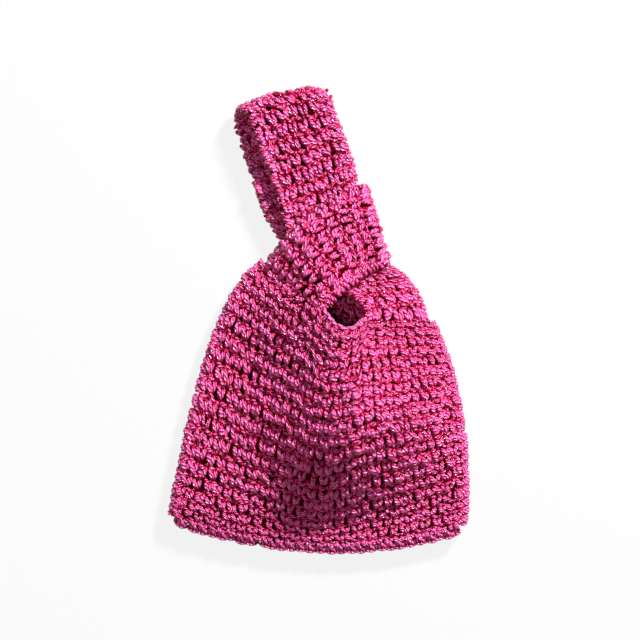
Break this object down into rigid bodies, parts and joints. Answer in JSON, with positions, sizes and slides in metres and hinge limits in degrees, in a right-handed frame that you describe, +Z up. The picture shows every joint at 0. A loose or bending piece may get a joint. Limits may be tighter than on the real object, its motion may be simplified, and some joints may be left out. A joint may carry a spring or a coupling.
{
  "type": "knot bag",
  "caption": "Crocheted knot bag lying flat, its long loop handle drawn through the short one so that the mouth closes to a small hole.",
  "frame": {"origin": "middle of the footprint, on the table the bag's back lies on", "axes": "+Y from the bag's base towards the handles, +X to the right seen from above, +Z up off the table"},
  "size_m": [0.2132, 0.327, 0.0587],
  "materials": {
    "pink_crochet": "hot-pink twisted cord, crocheted in close rows, slightly glossy",
    "pink_edging": "the same hot-pink cord, slip-stitched seams and rim"
  },
  "bodies": {
    "bag": {"front_panel": "pink_crochet", "back_panel": "pink_crochet", "front_mouth_edging": "pink_edging", "back_mouth_edging": "pink_edging", "bottom_seam": "pink_edging", "left_side_seam": "pink_edging", "right_side_seam": "pink_edging", "short_handle_front": "pink_crochet", "short_handle_back": "pink_crochet", "short_handle_join": "pink_crochet", "long_handle_front_leg": "pink_crochet", "long_handle_back_leg": "pink_crochet"},
    "handle_root": {"long_handle_front_root": "pink_crochet", "long_handle_back_root": "pink_crochet"},
    "handle_neck": {"long_handle_front_neck": "pink_crochet", "long_handle_back_neck": "pink_crochet"},
    "handle_loop": {"long_handle_front_strip": "pink_crochet", "long_handle_back_strip": "pink_crochet", "long_handle_join": "pink_crochet"}
  },
  "joints": [
    {"name": "handle_draw", "type": "slide", "parent": "bag", "child": "handle_root", "axis": [-0.2756, 0.9613, 0], "range_m": [0, 0.012]},
    {"name": "handle_swing", "type": "hinge", "parent": "handle_root", "child": "handle_neck", "pos_m": [0.00212, 0.08593, 0.0155], "axis": [0, 0, 1], "range_deg": [-20, 20]},
    {"name": "handle_fold", "type": "hinge", "parent": "handle_neck", "child": "handle_loop", "pos_m": [-0.00306, 0.10016, 0.018], "axis": [0.9397, 0.342, 0], "range_deg": [0, 120]}
  ]
}
